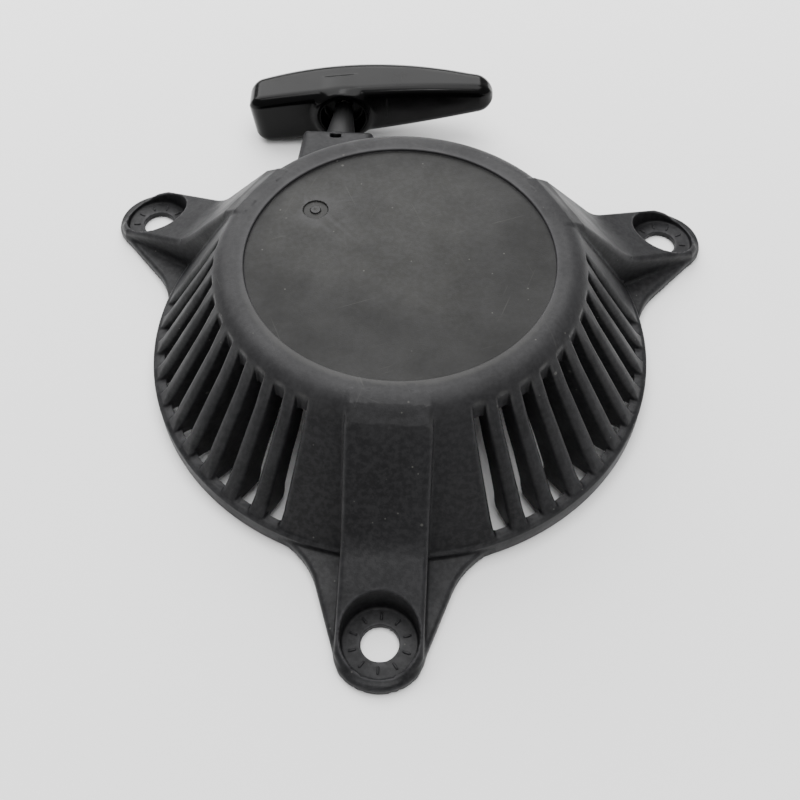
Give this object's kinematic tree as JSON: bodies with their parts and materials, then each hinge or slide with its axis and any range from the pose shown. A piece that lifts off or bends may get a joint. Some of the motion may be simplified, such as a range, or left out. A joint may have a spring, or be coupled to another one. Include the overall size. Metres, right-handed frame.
{
  "type": "recoil starter",
  "caption": "Pull-cord recoil starter for a small engine: round slotted black plastic case with bolt ears, a side rope guide and a T grip, with pulley, spring and pawls inside.",
  "frame": {"origin": "on the pulley's axis, in the plane of the mounting face", "axes": "+Z away from the engine along the pulley's axis, +Y the way the rope leaves, +X to the right seen from above"},
  "size_m": [0.1942, 0.223, 0.0428],
  "materials": {
    "case_plastic": "black moulded plastic, fine grain",
    "guide_plastic": "black moulded plastic",
    "grip_plastic": "gloss black plastic",
    "pulley_plastic": "dark grey glass-filled plastic",
    "rope_nylon": "braided nylon",
    "spring_steel": "bright spring steel",
    "zinc_steel": "zinc plated steel",
    "pawl_steel": "sintered steel"
  },
  "bodies": {
    "case": {"case": "case_plastic", "rope_guide": "guide_plastic", "recoil_spring": "spring_steel", "spring_cover": "zinc_steel", "cover_screw_1": "zinc_steel", "cover_screw_2": "zinc_steel", "cover_screw_3": "zinc_steel", "thrust_washer": "zinc_steel", "centre_screw": "zinc_steel", "friction_spring": "spring_steel"},
    "grip": {"grip": "grip_plastic", "knot_washer": "zinc_steel", "grip_knot": "rope_nylon", "rope_lead": "rope_nylon"},
    "pulley": {"pulley": "pulley_plastic", "rope_coil": "rope_nylon", "pulley_knot": "rope_nylon", "pawl_spring_1": "spring_steel", "pawl_spring_2": "spring_steel"},
    "pawl_1": {"pawl_1": "pawl_steel"},
    "pawl_2": {"pawl_2": "pawl_steel"},
    "ratchet_guide": {"ratchet_guide": "pulley_plastic"}
  },
  "joints": [
    {"name": "grip_pull", "type": "slide", "parent": "case", "child": "grip", "axis": [0, 1, 0], "range_m": [0, 0.58], "stiffness_N_per_m": 15, "springref_m": -0.4, "deforming": ["rope_lead"]},
    {"name": "pulley_spin", "type": "hinge", "parent": "case", "child": "pulley", "pos_m": [0, 0, 0], "axis": [0, 0, -1], "range_deg": [0, 1440], "deforming": ["recoil_spring"]},
    {"name": "guide_turn", "type": "hinge", "parent": "pulley", "child": "ratchet_guide", "pos_m": [0, 0, 0], "axis": [0, 0, 1], "range_deg": [0, 30]},
    {"name": "pawl_1_swing", "type": "hinge", "parent": "pulley", "child": "pawl_1", "pos_m": [0.019, 0, 0], "axis": [0, 0, 1], "range_deg": [0, 27], "stiffness_Nm_per_rad": 0.002},
    {"name": "pawl_2_swing", "type": "hinge", "parent": "pulley", "child": "pawl_2", "pos_m": [-0.019, 0, 0], "axis": [0, 0, 1], "range_deg": [0, 27], "stiffness_Nm_per_rad": 0.002}
  ],
  "couplings": [
    {"joint": "pulley_spin", "follows": "grip_pull", "rad_per_m": 43},
    {"joint": "pawl_1_swing", "follows": "guide_turn", "ratio": 0.9},
    {"joint": "pawl_2_swing", "follows": "guide_turn", "ratio": 0.9}
  ]
}
